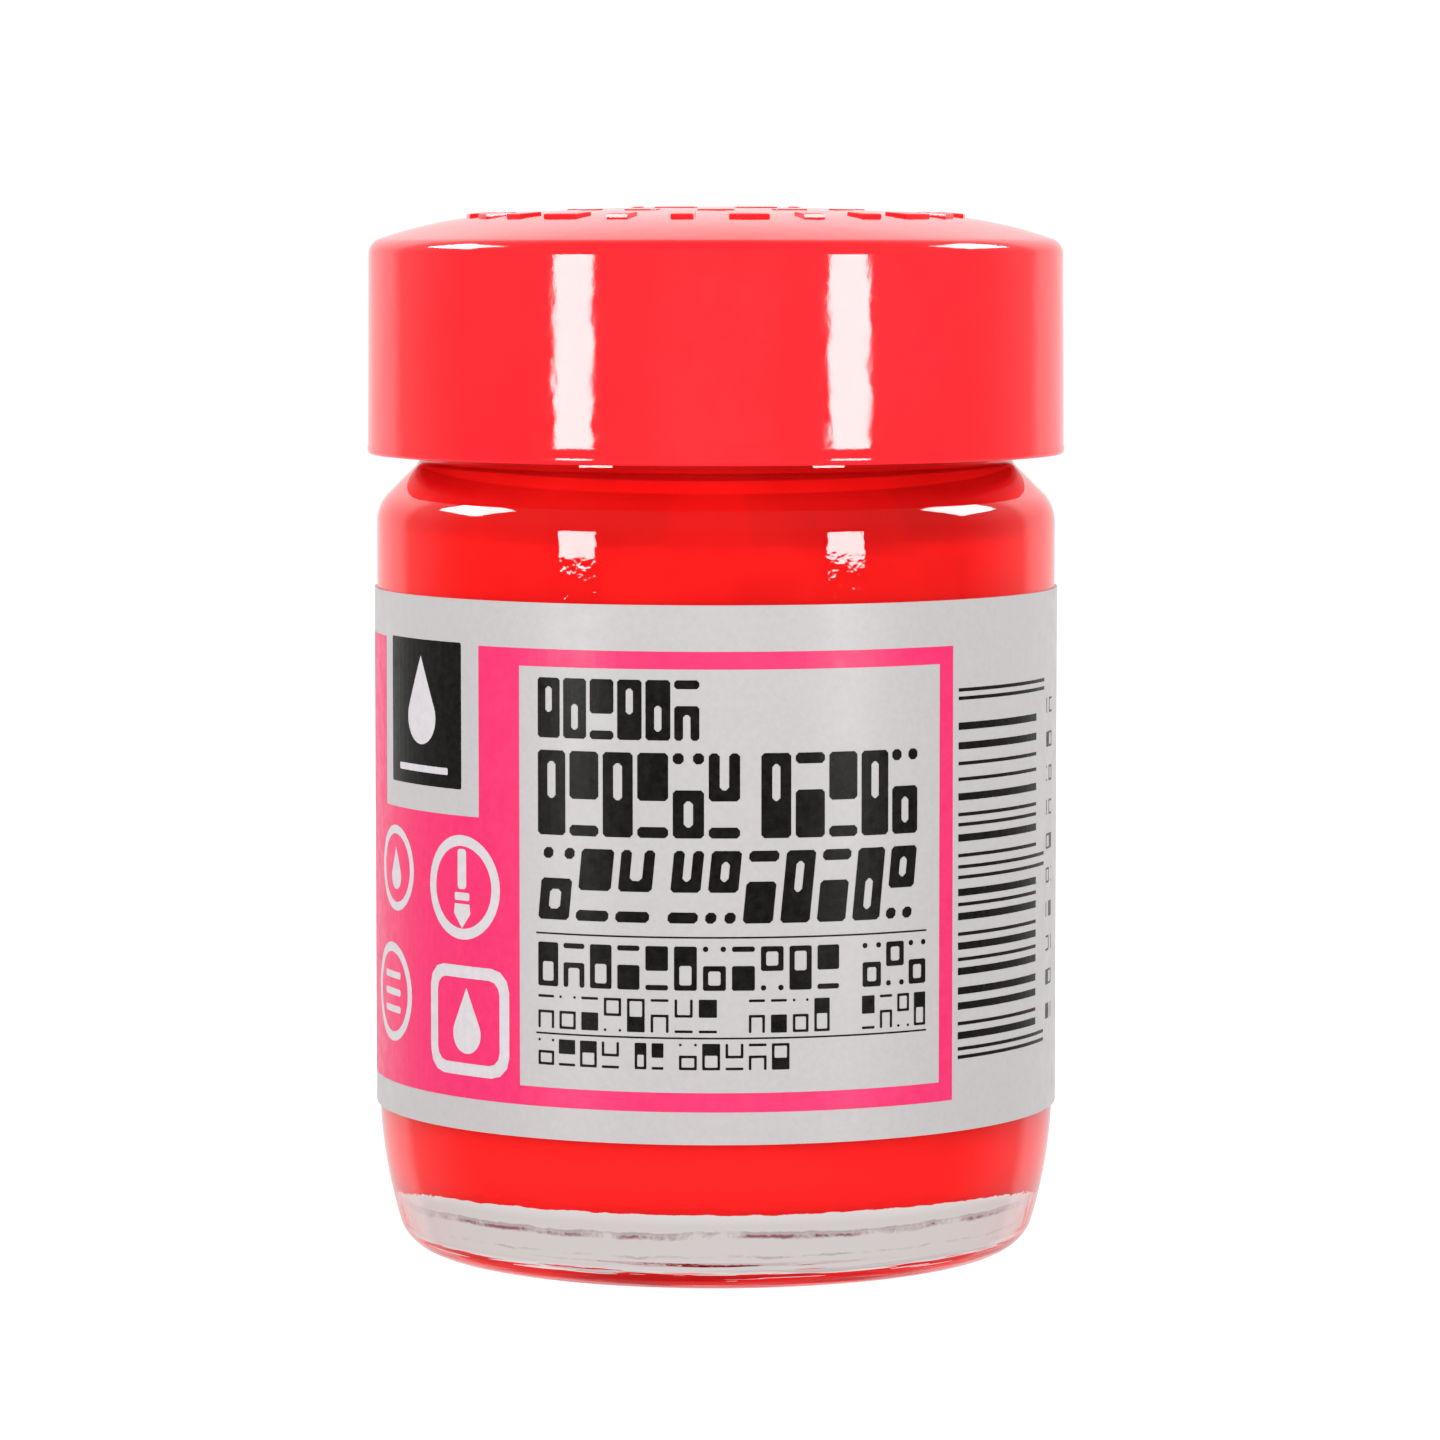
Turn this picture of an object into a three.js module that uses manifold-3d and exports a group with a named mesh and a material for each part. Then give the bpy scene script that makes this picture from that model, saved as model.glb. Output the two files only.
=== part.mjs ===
// Screw-capped glass jar of poster paint, in millimetres, +Z up.
// The origin is the centre of the jar's foot, and -Y is the front of the label.
// The cap is screwed home. Turning it anticlockwise, seen from above, lifts it by THREAD_PITCH for
// each turn, because both thread ridges run along one right-hand helix.
import * as THREE from "three";
import { mergeVertices } from "three/addons/utils/BufferGeometryUtils.js";
import Module from "manifold-3d";

const wasm = await Module();
wasm.setup();

const FULL_TURN = 2 * Math.PI;
const SEGMENTS = 48; // facets round the axis, shared by all turned pieces so that their flats line up

// Glass jar, outside
const BODY_RADIUS = 20;
const HEEL_START_Z = 10.1; // where the straight side starts to draw in towards the foot
const HEEL_RADIUS = 30;
const HEEL_TURN = 16.2; // degrees that the heel's large arc turns through
const FOOT_FILLET = 2.4;
const FOOT_INNER_RADIUS = 15;
const PUSH_UP = 1; // rise of the hollow under the base at its centre
const PUSH_UP_LIP = 0.35; // step from the foot ring up to that hollow
const PUSH_UP_RADIUS = 14.55;
const PUSH_UP_SHARES = [0, 0.4, 0.75, 1]; // of that radius, where the hollow's outline has its points
const SHOULDER_START_Z = 43;
const SHOULDER_FILLET = 2.4;
const SHOULDER_SLOPE = 45; // degrees from the horizontal
const NECK_RADIUS = 17.5;
const NECK_FILLET = 0.7;
const RIM_Z = 57.2;
const RIM_FILLET = 0.8;

// Glass jar, inside
const MOUTH_RADIUS = 14.9;
const WALL = 3;
const FLOOR_Z = 4.5;
const FLOOR_CORNER = 4.5;
const INNER_SHOULDER_START_Z = 41.4;
const INNER_SHOULDER_FILLET = 1.6;

// Thread, one start, 38 mm finish with six turns to the inch
const THREAD_PITCH = 25.4 / 6;
const THREAD_ROOT_HALF = 1.15; // half the ridge's height where it leaves the wall
const THREAD_TIP_HALF = 0.65;
const THREAD_DEPTH = 1.1;
const THREAD_BURIED = 0.5; // how far a ridge runs into its wall, so that the two join cleanly
const THREAD_FADE = 0.12; // turns over which a ridge's end sinks into its wall
const THREAD_SUNK = 0.2; // how deep under the wall's face the tip of a ridge starts
const JAR_THREAD_Z = 49.6; // middle of the jar's ridge at angle 0
const JAR_THREAD_TURNS = 1.25;
const CAP_THREAD_DROP = THREAD_PITCH / 2 - 0.35; // the cap's ridge lies this far under the jar's
const CAP_THREAD_START = 0.25; // turns from angle 0
const CAP_THREAD_TURNS = 1.25;

// Screw cap
const CAP_BOTTOM_Z = 47;
const CAP_BOTTOM_RADIUS = 20.55;
const CAP_TOP_RADIUS = 20.43;
const CAP_TOP_Z = 61.5;
const CAP_BORE_RADIUS = 18.95;
const CAP_EDGE_ROUND = 0.3;
const CAP_BORE_CHAMFER = 0.5;
const DOME_RADIUS = 180;
const DOME_REACH = 13; // radius at which the flat dome gives way to the rounded shoulder
const CAP_SHOULDER_RADIUS = 26.5;
const CAP_CORNER_RADIUS = 0.95;
const ROOF_SEAT_Z = 58.5; // flat ring that the liner lies against
const ROOF_SEAT_INNER_RADIUS = 15.5;
const ROOF_RECESS_Z = 59.7;
const ROOF_RECESS_RADIUS = 14;
const ROOF_RECESS_SAG = 0.4; // the recess is this much lower at its edge than at its centre
const BEAD_Z = 56.85; // middle of the bead that holds the liner in
const BEAD_HEIGHT = 0.45;
const BEAD_HALF = 0.35;

// Liner, paint and label
const LINER_RADIUS = 18.6;
const LINER_THICKNESS = 1.2;
const CONTACT_GAP = 0.05; // between faces that touch on the real jar
const PAINT_GAP = 0.06; // between the paint and the glass
const PAINT_LEVEL_Z = 45.5;
const PAINT_MENISCUS = 0.5; // how far the paint is drawn up the glass
const MENISCUS_STEPS = [[2.5, 0.1], [1, 0.4], [0, 1]]; // distance from the glass, share of that rise
const LABEL_BOTTOM_Z = 8.75;
const LABEL_HEIGHT = 30.45;
const LABEL_THICKNESS = 0.12;
const LABEL_GAP = 0.03;
const LABEL_LAP_SEGMENTS = 1; // facets of the seam at the back where the label's end lies over its start

const radians = THREE.MathUtils.degToRad;
const degrees = THREE.MathUtils.radToDeg;
const point = (r, z) => new THREE.Vector2(r, z);

// Points of an arc in the profile plane. 0 degrees points away from the axis and 90 degrees up.
function arc(centreR, centreZ, radius, fromDeg, toDeg, steps) {
  return Array.from({ length: steps + 1 }, (_, i) => {
    const angle = radians(fromDeg + ((toDeg - fromDeg) * i) / steps);
    return point(centreR + radius * Math.cos(angle), centreZ + radius * Math.sin(angle));
  });
}

// Turns a profile about Z. The profile runs out along the underside, up the outside and back in.
function turned(profile) {
  return new THREE.LatheGeometry(profile, SEGMENTS).rotateX(Math.PI / 2);
}

// A closed geometry as a solid that can be joined or cut.
function solid(geometry) {
  const bare = geometry.clone();
  bare.deleteAttribute("normal");
  bare.deleteAttribute("uv");
  const merged = mergeVertices(bare, 1e-4);
  return new wasm.Manifold(
    new wasm.Mesh({
      numProp: 3,
      vertProperties: merged.attributes.position.array,
      triVerts: new Uint32Array(merged.index.array),
    }),
  );
}

function geometryOf(manifold) {
  const mesh = manifold.getMesh();
  const geometry = new THREE.BufferGeometry();
  geometry.setAttribute("position", new THREE.BufferAttribute(mesh.vertProperties, 3));
  geometry.setIndex(new THREE.BufferAttribute(mesh.triVerts, 1));
  geometry.computeVertexNormals();
  return geometry;
}

// A helical ridge whose ends sink into the wall. towardsAxis says which side of the wall it stands on.
function threadRidge({ wallRadius, towardsAxis, startTurn, turns, zAtZeroTurn }) {
  const side = towardsAxis ? -1 : 1;
  const buriedRadius = wallRadius - side * THREAD_BURIED;
  const steps = Math.round(turns * SEGMENTS);
  const positions = [];
  for (let i = 0; i <= steps; i++) {
    const turn = startTurn + (turns * i) / steps;
    const fromEnd = Math.min(turn - startTurn, startTurn + turns - turn);
    const rise = THREE.MathUtils.smoothstep(fromEnd, 0, THREAD_FADE);
    const tipRadius = wallRadius + side * THREE.MathUtils.lerp(-THREAD_SUNK, THREAD_DEPTH, rise);
    const z = zAtZeroTurn + THREAD_PITCH * turn;
    const section = [
      [buriedRadius, z - THREAD_ROOT_HALF],
      [tipRadius, z - THREAD_TIP_HALF],
      [tipRadius, z + THREAD_TIP_HALF],
      [buriedRadius, z + THREAD_ROOT_HALF],
    ];
    for (const [r, height] of section) {
      positions.push(r * Math.cos(FULL_TURN * turn), r * Math.sin(FULL_TURN * turn), height);
    }
  }
  const faces = [];
  const quad = (a, b, c, d) => {
    faces.push(...(towardsAxis ? [a, c, b, a, d, c] : [a, b, c, a, c, d]));
  };
  for (let i = 0; i < steps; i++) {
    for (let corner = 0; corner < 4; corner++) {
      const here = 4 * i + corner;
      const next = 4 * i + ((corner + 1) % 4);
      quad(here, here + 4, next + 4, next);
    }
  }
  quad(0, 1, 2, 3);
  quad(4 * steps + 3, 4 * steps + 2, 4 * steps + 1, 4 * steps);
  const geometry = new THREE.BufferGeometry();
  geometry.setAttribute("position", new THREE.Float32BufferAttribute(positions, 3));
  geometry.setIndex(faces);
  return geometry;
}

// The jar's outline from the middle of its underside, up the outside to the rim.
function jarOutside() {
  const heel = arc(
    BODY_RADIUS - HEEL_RADIUS, HEEL_START_Z, HEEL_RADIUS, -HEEL_TURN, 0, 7,
  );
  const footCentreR = heel[0].x - FOOT_FILLET * Math.cos(radians(HEEL_TURN));
  const foot = arc(footCentreR, FOOT_FILLET, FOOT_FILLET, -90, -HEEL_TURN, 5);
  const underside = PUSH_UP_SHARES.map((share) =>
    point(PUSH_UP_RADIUS * share, PUSH_UP - (PUSH_UP - PUSH_UP_LIP) * share * share),
  );
  const shoulderTurn = 90 - SHOULDER_SLOPE;
  const shoulder = arc(
    BODY_RADIUS - SHOULDER_FILLET, SHOULDER_START_Z, SHOULDER_FILLET, 0, shoulderTurn, 4,
  );
  const slopeEnd = shoulder.at(-1);
  const run = NECK_RADIUS + NECK_FILLET * (1 - Math.cos(radians(shoulderTurn)));
  const coneTop = slopeEnd.y + (slopeEnd.x - run) * Math.tan(radians(SHOULDER_SLOPE));
  const neckFillet = arc(
    NECK_RADIUS + NECK_FILLET,
    coneTop + NECK_FILLET * Math.sin(radians(shoulderTurn)),
    NECK_FILLET, 180 + shoulderTurn, 180, 3,
  );
  const rim = arc(NECK_RADIUS - RIM_FILLET, RIM_Z - RIM_FILLET, RIM_FILLET, 0, 90, 3);
  return [
    ...underside, point(FOOT_INNER_RADIUS, 0), ...foot, ...heel, ...shoulder, ...neckFillet, ...rim,
  ];
}

// The jar's bore, from the rim down to the middle of the floor. gap draws it in for the paint.
function jarInside(gap = 0) {
  const wallRadius = BODY_RADIUS - WALL - gap;
  const mouthRadius = MOUTH_RADIUS - gap;
  const slope = SHOULDER_SLOPE;
  const shoulder = arc(
    wallRadius - INNER_SHOULDER_FILLET, INNER_SHOULDER_START_Z, INNER_SHOULDER_FILLET, slope, 0, 3,
  );
  const neckZ = shoulder[0].y + (shoulder[0].x - mouthRadius) * Math.tan(radians(slope));
  const corner = FLOOR_CORNER - gap;
  const floor = arc(wallRadius - corner, FLOOR_Z + gap + corner, corner, 0, -90, 6);
  return { neck: point(mouthRadius, neckZ), below: [...shoulder, ...floor, point(0, FLOOR_Z + gap)] };
}

function glassJar() {
  const bore = jarInside();
  const lip = arc(
    MOUTH_RADIUS + RIM_FILLET, RIM_Z - RIM_FILLET, RIM_FILLET, 90, 180, 3,
  );
  const body = solid(turned([...jarOutside(), ...lip, bore.neck, ...bore.below]));
  const ridge = solid(
    threadRidge({
      wallRadius: NECK_RADIUS,
      towardsAxis: false,
      startTurn: 0,
      turns: JAR_THREAD_TURNS,
      zAtZeroTurn: JAR_THREAD_Z,
    }),
  );
  return geometryOf(body.add(ridge));
}

// The paint fills the jar to the foot of its neck.
function paintFill() {
  const { neck, below } = jarInside(PAINT_GAP);
  const meniscus = MENISCUS_STEPS.map(([fromGlass, share]) =>
    point(neck.x - fromGlass, PAINT_LEVEL_Z + PAINT_MENISCUS * share),
  );
  return turned([point(0, PAINT_LEVEL_Z), ...meniscus, neck, ...below].reverse());
}

// The cap's outer skin above its straight side: corner, rounded shoulder and flat dome. The
// shoulder's slope where it meets the corner follows from the three radii.
function capCrown() {
  const domeTurn = Math.asin(DOME_REACH / DOME_RADIUS);
  const cornerCentreR = CAP_TOP_RADIUS - CAP_CORNER_RADIUS;
  const shoulderCentreR = DOME_REACH - CAP_SHOULDER_RADIUS * Math.sin(domeTurn);
  const shoulderTurn = Math.asin(
    (cornerCentreR - shoulderCentreR) / (CAP_SHOULDER_RADIUS - CAP_CORNER_RADIUS),
  );
  const domeCentreZ = CAP_TOP_Z - DOME_RADIUS;
  const shoulderCentreZ = domeCentreZ + (DOME_RADIUS - CAP_SHOULDER_RADIUS) * Math.cos(domeTurn);
  const cornerCentreZ =
    shoulderCentreZ + (CAP_SHOULDER_RADIUS - CAP_CORNER_RADIUS) * Math.cos(shoulderTurn);
  const domeStart = 90 - degrees(domeTurn);
  const shoulderStart = 90 - degrees(shoulderTurn);
  return [
    ...arc(cornerCentreR, cornerCentreZ, CAP_CORNER_RADIUS, 0, shoulderStart, 4),
    ...arc(
      shoulderCentreR, shoulderCentreZ, CAP_SHOULDER_RADIUS, shoulderStart, domeStart, 4,
    ).slice(1),
    ...arc(0, domeCentreZ, DOME_RADIUS, domeStart, 90, 3).slice(1),
  ];
}

function screwCap() {
  const underside = [
    point(0, ROOF_RECESS_Z),
    point(ROOF_RECESS_RADIUS, ROOF_RECESS_Z - ROOF_RECESS_SAG),
    point(ROOF_SEAT_INNER_RADIUS, ROOF_SEAT_Z),
    point(CAP_BORE_RADIUS, ROOF_SEAT_Z),
  ];
  const bore = [
    point(CAP_BORE_RADIUS, BEAD_Z + BEAD_HALF),
    point(CAP_BORE_RADIUS - BEAD_HEIGHT, BEAD_Z),
    point(CAP_BORE_RADIUS, BEAD_Z - BEAD_HALF),
    point(CAP_BORE_RADIUS, CAP_BOTTOM_Z + CAP_BORE_CHAMFER),
    point(CAP_BORE_RADIUS + CAP_BORE_CHAMFER, CAP_BOTTOM_Z),
  ];
  const edge = arc(
    CAP_BOTTOM_RADIUS - CAP_EDGE_ROUND, CAP_BOTTOM_Z + CAP_EDGE_ROUND, CAP_EDGE_ROUND, -90, 0, 2,
  );
  const shell = solid(turned([...underside, ...bore, ...edge, ...capCrown()]));
  const ridge = solid(
    threadRidge({
      wallRadius: CAP_BORE_RADIUS,
      towardsAxis: true,
      startTurn: CAP_THREAD_START,
      turns: CAP_THREAD_TURNS,
      zAtZeroTurn: JAR_THREAD_Z - CAP_THREAD_DROP,
    }),
  );
  return geometryOf(shell.add(ridge));
}

function capLiner() {
  const top = ROOF_SEAT_Z - CONTACT_GAP;
  const bottom = top - LINER_THICKNESS;
  return turned([
    point(0, bottom), point(LINER_RADIUS, bottom), point(LINER_RADIUS, top), point(0, top),
  ]);
}

// A strip wrapped once round the jar, whose end steps up over its start at the back.
function wrapLabel() {
  const inner = BODY_RADIUS + LABEL_GAP;
  const lift = LABEL_THICKNESS + LABEL_GAP;
  const steps = SEGMENTS + LABEL_LAP_SEGMENTS;
  const lapStart = SEGMENTS - 1;
  const at = (step, radius) => {
    const angle = Math.PI / 2 + (FULL_TURN * step) / SEGMENTS;
    return point(radius * Math.cos(angle), radius * Math.sin(angle));
  };
  const under = Array.from({ length: steps + 1 }, (_, i) => [i, inner + (i > lapStart ? lift : 0)]);
  const over = under.map(([i, radius]) => at(i, radius + LABEL_THICKNESS));
  const outline = [...over, ...under.reverse().map(([i, radius]) => at(i, radius))];
  const strip = new THREE.ExtrudeGeometry(new THREE.Shape(outline), {
    depth: LABEL_HEIGHT,
    bevelEnabled: false,
  });
  return strip.translate(0, 0, LABEL_BOTTOM_Z);
}

const finishes = {
  glass: { color: 0xe8f0ee, roughness: 0.04, metalness: 0, transparent: true, opacity: 0.35 },
  paint: { color: 0xf51f1c, roughness: 0.35, metalness: 0 },
  cap: { color: 0xff2d38, roughness: 0.18, metalness: 0 },
  liner: { color: 0xf4f3ee, roughness: 0.8, metalness: 0 },
  label: { color: 0xd2cfcf, roughness: 0.4, metalness: 0 },
};

function piece(name, geometry, finish) {
  const mesh = new THREE.Mesh(geometry, new THREE.MeshStandardMaterial(finishes[finish]));
  mesh.name = name;
  return mesh;
}

const jar = new THREE.Group();
jar.add(
  piece("glass_jar", glassJar(), "glass"),
  piece("paint_fill", paintFill(), "paint"),
  piece("wrap_label", wrapLabel(), "label"),
  piece("cap_liner", capLiner(), "liner"),
  piece("screw_cap", screwCap(), "cap"),
);

export default jar;
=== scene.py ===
"""A jar of red poster paint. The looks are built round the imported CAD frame.

Sizes are in millimetres and angles in degrees, and both are turned into Blender's metres and radians
only where a mesh, light or camera is made. Angles round the jar count from the front of the label,
which faces -Y, and grow to the right.
"""

import math
import random

import bmesh
import bpy
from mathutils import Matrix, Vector, noise


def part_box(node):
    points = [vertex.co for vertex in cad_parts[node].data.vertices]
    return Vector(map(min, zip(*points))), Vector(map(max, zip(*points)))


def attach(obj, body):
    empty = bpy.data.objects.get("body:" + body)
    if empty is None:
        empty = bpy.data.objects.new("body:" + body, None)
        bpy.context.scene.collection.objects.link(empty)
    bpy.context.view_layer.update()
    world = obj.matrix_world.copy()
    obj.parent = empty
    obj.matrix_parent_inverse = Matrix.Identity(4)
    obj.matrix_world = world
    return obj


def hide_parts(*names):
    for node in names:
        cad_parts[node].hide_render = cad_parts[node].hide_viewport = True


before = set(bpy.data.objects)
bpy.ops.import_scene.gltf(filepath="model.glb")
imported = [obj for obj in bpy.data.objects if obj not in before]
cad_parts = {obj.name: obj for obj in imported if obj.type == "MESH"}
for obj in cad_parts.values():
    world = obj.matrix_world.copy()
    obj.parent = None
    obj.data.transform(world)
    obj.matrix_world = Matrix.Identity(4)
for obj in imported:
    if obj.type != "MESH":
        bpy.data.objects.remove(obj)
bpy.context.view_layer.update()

MM = 0.001
TAU = 2 * math.pi


def span(node):
    """Outer radius, lowest z and highest z of a round CAD node, in millimetres."""
    low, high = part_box(node)
    return high.x / MM, low.z / MM, high.z / MM


# ---------------------------------------------------------------- driving dimensions

SEGMENTS = 256  # facets round the axis of a turned piece

# Glass jar
BODY_RADIUS, _, RIM_Z = span("glass_jar")
HEEL_START_Z = 10.1  # where the straight side ends and the body starts to draw in
HEEL_RADIUS = 30
HEEL_TURN = 16.2  # degrees from upright that the side leans where it meets the foot's fillet
FOOT_FILLET = 2.4
FOOT_INNER_RADIUS = 15
FOOT_EDGE = 0.35  # the round on the foot ring's inner edge
HEEL_LINE_Z = 3.3  # the ragged dark line drawn round the heel's front
PUSH_UP = 1  # height of the hollow under the foot at its middle
PUSH_UP_RADIUS = FOOT_INNER_RADIUS - 0.45
SHOULDER_START_Z = 43
SHOULDER_FILLET = 2.4
SHOULDER_SLOPE = 45
NECK_RADIUS = 17.5
NECK_FILLET = 0.7
RIM_FILLET = 0.8
MOUTH_RADIUS = 14.9
WALL = 3
FLOOR_Z = 4.5
FLOOR_CORNER = 4.5
INNER_SHOULDER_START_Z = 41.4
INNER_SHOULDER_FILLET = 1.6
GLASS_WAVE = 0.02  # how far moulded glass strays from a true round

# Thread, the same helix on the neck and in the cap
THREAD_PITCH = 25.4 / 6
THREAD_DEPTH = 1.1
THREAD_TIP_HALF = 0.4  # half the ridge's width at its tip
THREAD_ROOT_HALF = 1
THREAD_FADE = 0.12  # the part of a turn over which each end of the ridge runs out
THREAD_PLAY = 0.35  # how far the cap's ridge lies above the middle of the jar's groove
JAR_THREAD_Z = 49.6
JAR_THREAD_TURNS = (0, 1.25)
CAP_THREAD_Z = JAR_THREAD_Z - THREAD_PITCH / 2 + THREAD_PLAY
CAP_THREAD_TURNS = (0.25, 1.5)

# Cap and liner
CAP_RADIUS, CAP_BOTTOM_Z, CAP_TOP_Z = span("screw_cap")
CAP_TOP_RADIUS = CAP_RADIUS - 0.12  # the skirt tapers by this much
CAP_BORE_RADIUS = 18.95
CAP_LIP_HEIGHT = 0.55  # the slightly wider lip at the skirt's lower edge
CAP_MOUTH_FILLET = 0.45
CAP_EDGE_FILLET = 0.22
BEAD_RISE = 0.42  # the bead in the bore that keeps the liner in
BEAD_HALF = 0.35
DOME_RADIUS = 180
DOME_REACH = 13  # radius at which the flat dome meets the rounded shoulder
CAP_SHOULDER_RADIUS = 26.5
CAP_CORNER_RADIUS = 0.95
MARK_RING_RADIUS = 13.9
MARK_HALF_DEPTH = 0.8
MARK_RISE = 0.17  # of the outer ring, whose foot lies lower on the dome
DASH_RISE = 0.05  # of the two inner rings
LINER_RADIUS, LINER_BOTTOM_Z, LINER_TOP_Z = span("cap_liner")
LINER_GAP = 0.05

# Paint
_, _, PAINT_TOP_Z = span("paint_fill")
PAINT_OVERLAP = 0.12  # the paint wets the glass, so it runs a little into the wall and leaves no air
MENISCUS = 0.5

# Label
LABEL_RADIUS, LABEL_BOTTOM_Z, LABEL_TOP_Z = span("wrap_label")
LABEL_THICKNESS = 0.1
LABEL_LAP = 6  # degrees that the end lies over the start at the back
LAP_LIFT = 0.11
INK_RISE = 0.012
OVERPRINT_RISE = 0.02  # of the pale ink, which lies on the others
INK_SUNK = 0.004  # how far the inks reach into the paper


# ---------------------------------------------------------------- outlines and turned meshes


def arc(centre_r, centre_z, radius, start, end, steps):
    """Points of an arc in the profile plane. 0 points away from the axis and 90 up."""
    points = []
    for i in range(steps + 1):
        angle = math.radians(start + (end - start) * i / steps)
        points.append((centre_r + radius * math.cos(angle), centre_z + radius * math.sin(angle)))
    return points


def line(start, end, step):
    """Points from start to end, end left out, no further apart than step."""
    count = max(1, math.ceil(math.dist(start, end) / step))
    return [
        tuple(a + (b - a) * i / count for a, b in zip(start, end)) for i in range(count)
    ]


def add_object(name, vertices, faces, sharp_angle=40):
    """A smooth shaded mesh object whose vertices are given in millimetres."""
    mesh = bpy.data.meshes.new(name)
    mesh.from_pydata([Vector(v) * MM for v in vertices], [], faces)
    mesh.shade_smooth()
    mesh.set_sharp_from_angle(angle=math.radians(sharp_angle))
    mesh.validate()
    piece = bpy.data.objects.new(name, mesh)
    bpy.context.scene.collection.objects.link(piece)
    return piece


def revolve(name, profile, shape=None, closed=False):
    """Turns a profile of (r, z) points about Z. The profile runs out along the underside, up the
    outside and back in. shape(turns, r, z) may move a point to its own radius and height. closed
    joins the profile's end to its start."""
    vertices = []
    rings = []
    for r, z in profile:
        start = len(vertices)
        if r < 1e-6:
            vertices.append((0, 0, z))
            rings.append([start])
            continue
        for i in range(SEGMENTS):
            turns = i / SEGMENTS
            at_r, at_z = shape(turns, r, z) if shape else (r, z)
            vertices.append((at_r * math.cos(TAU * turns), at_r * math.sin(TAU * turns), at_z))
        rings.append(range(start, start + SEGMENTS))
    faces = []
    pairs = list(zip(rings, rings[1:]))
    if closed:
        pairs.append((rings[-1], rings[0]))
    for low, high in pairs:
        for i in range(SEGMENTS):
            j = (i + 1) % SEGMENTS
            if len(low) == 1:
                faces.append((low[0], high[j], high[i]))
            elif len(high) == 1:
                faces.append((low[i], low[j], high[0]))
            else:
                faces.append((low[i], low[j], high[j], high[i]))
    return add_object(name, vertices, faces)


def smoothstep(value, low, high):
    """0 below low, 1 above high and a smooth rise between them."""
    share = min(1, max(0, (value - low) / (high - low)))
    return share * share * (3 - 2 * share)


def thread_rise(turns, z, z_at_zero, start, end):
    """How far a thread ridge stands out of its wall at this angle and height."""
    rise = 0
    for lap in range(2):  # the ridge passes some angles twice, a pitch apart
        turn = turns + lap
        if not start <= turn <= end:
            continue
        offset = abs(z - z_at_zero - THREAD_PITCH * turn)
        fade = smoothstep(min(turn - start, end - turn), 0, THREAD_FADE)
        flank = 1 - smoothstep(offset, THREAD_TIP_HALF, THREAD_ROOT_HALF)
        rise = max(rise, THREAD_DEPTH * fade * flank)
    return rise


# ---------------------------------------------------------------- glass jar and paint


def jar_outside():
    """The jar's outline from the middle of its underside, up the outside to the rim."""
    heel = arc(BODY_RADIUS - HEEL_RADIUS, HEEL_START_Z, HEEL_RADIUS, -HEEL_TURN, 0, 24)
    foot_centre_r = heel[0][0] - FOOT_FILLET * math.cos(math.radians(HEEL_TURN))
    foot = arc(foot_centre_r, FOOT_FILLET, FOOT_FILLET, -90, -HEEL_TURN, 18)
    underside = []
    steps = 14
    for i in range(steps + 1):
        share = i / steps
        rise = PUSH_UP - (PUSH_UP - FOOT_EDGE) * share * share
        underside.append((PUSH_UP_RADIUS * share, rise))
    inner_edge = arc(FOOT_INNER_RADIUS + FOOT_EDGE, FOOT_EDGE, FOOT_EDGE, 180, 270, 6)
    turn = 90 - SHOULDER_SLOPE
    shoulder = arc(BODY_RADIUS - SHOULDER_FILLET, SHOULDER_START_Z, SHOULDER_FILLET, 0, turn, 14)
    slope_r, slope_z = shoulder[-1]
    neck_run = NECK_RADIUS + NECK_FILLET * (1 - math.cos(math.radians(turn)))
    cone_top = slope_z + (slope_r - neck_run) * math.tan(math.radians(SHOULDER_SLOPE))
    fillet_z = cone_top + NECK_FILLET * math.sin(math.radians(turn))
    fillet = arc(NECK_RADIUS + NECK_FILLET, fillet_z, NECK_FILLET, 180 + turn, 180, 6)
    neck = line(fillet[-1], (NECK_RADIUS, RIM_Z - RIM_FILLET), 0.14)
    rim = arc(NECK_RADIUS - RIM_FILLET, RIM_Z - RIM_FILLET, RIM_FILLET, 0, 90, 8)
    body = line(heel[-1], shoulder[0], 1.5)
    cone = line(shoulder[-1], fillet[0], 0.4)
    return [
        *underside, *inner_edge, *foot, *heel[1:-1], *body, *shoulder[:-1], *cone, *fillet[:-1],
        *neck, *rim,
    ]


def jar_inside(wetting=0):
    """The bore from the neck down to the middle of the floor. wetting moves it out into the glass."""
    wall_radius = BODY_RADIUS - WALL + wetting
    mouth_radius = MOUTH_RADIUS + wetting
    shoulder = arc(
        wall_radius - INNER_SHOULDER_FILLET, INNER_SHOULDER_START_Z, INNER_SHOULDER_FILLET,
        SHOULDER_SLOPE, 0, 8,
    )
    slope = math.tan(math.radians(SHOULDER_SLOPE))
    neck_z = shoulder[0][1] + (shoulder[0][0] - mouth_radius) * slope
    corner = FLOOR_CORNER + wetting
    floor = arc(wall_radius - corner, FLOOR_Z - wetting + corner, corner, 0, -90, 20)
    wall = line(shoulder[-1], floor[0], 3)
    middle = (0, FLOOR_Z - wetting)
    base = line(floor[-1], middle, 3)
    return (mouth_radius, neck_z), [*shoulder[:-1], *wall, *floor[:-1], *base, middle]


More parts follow.
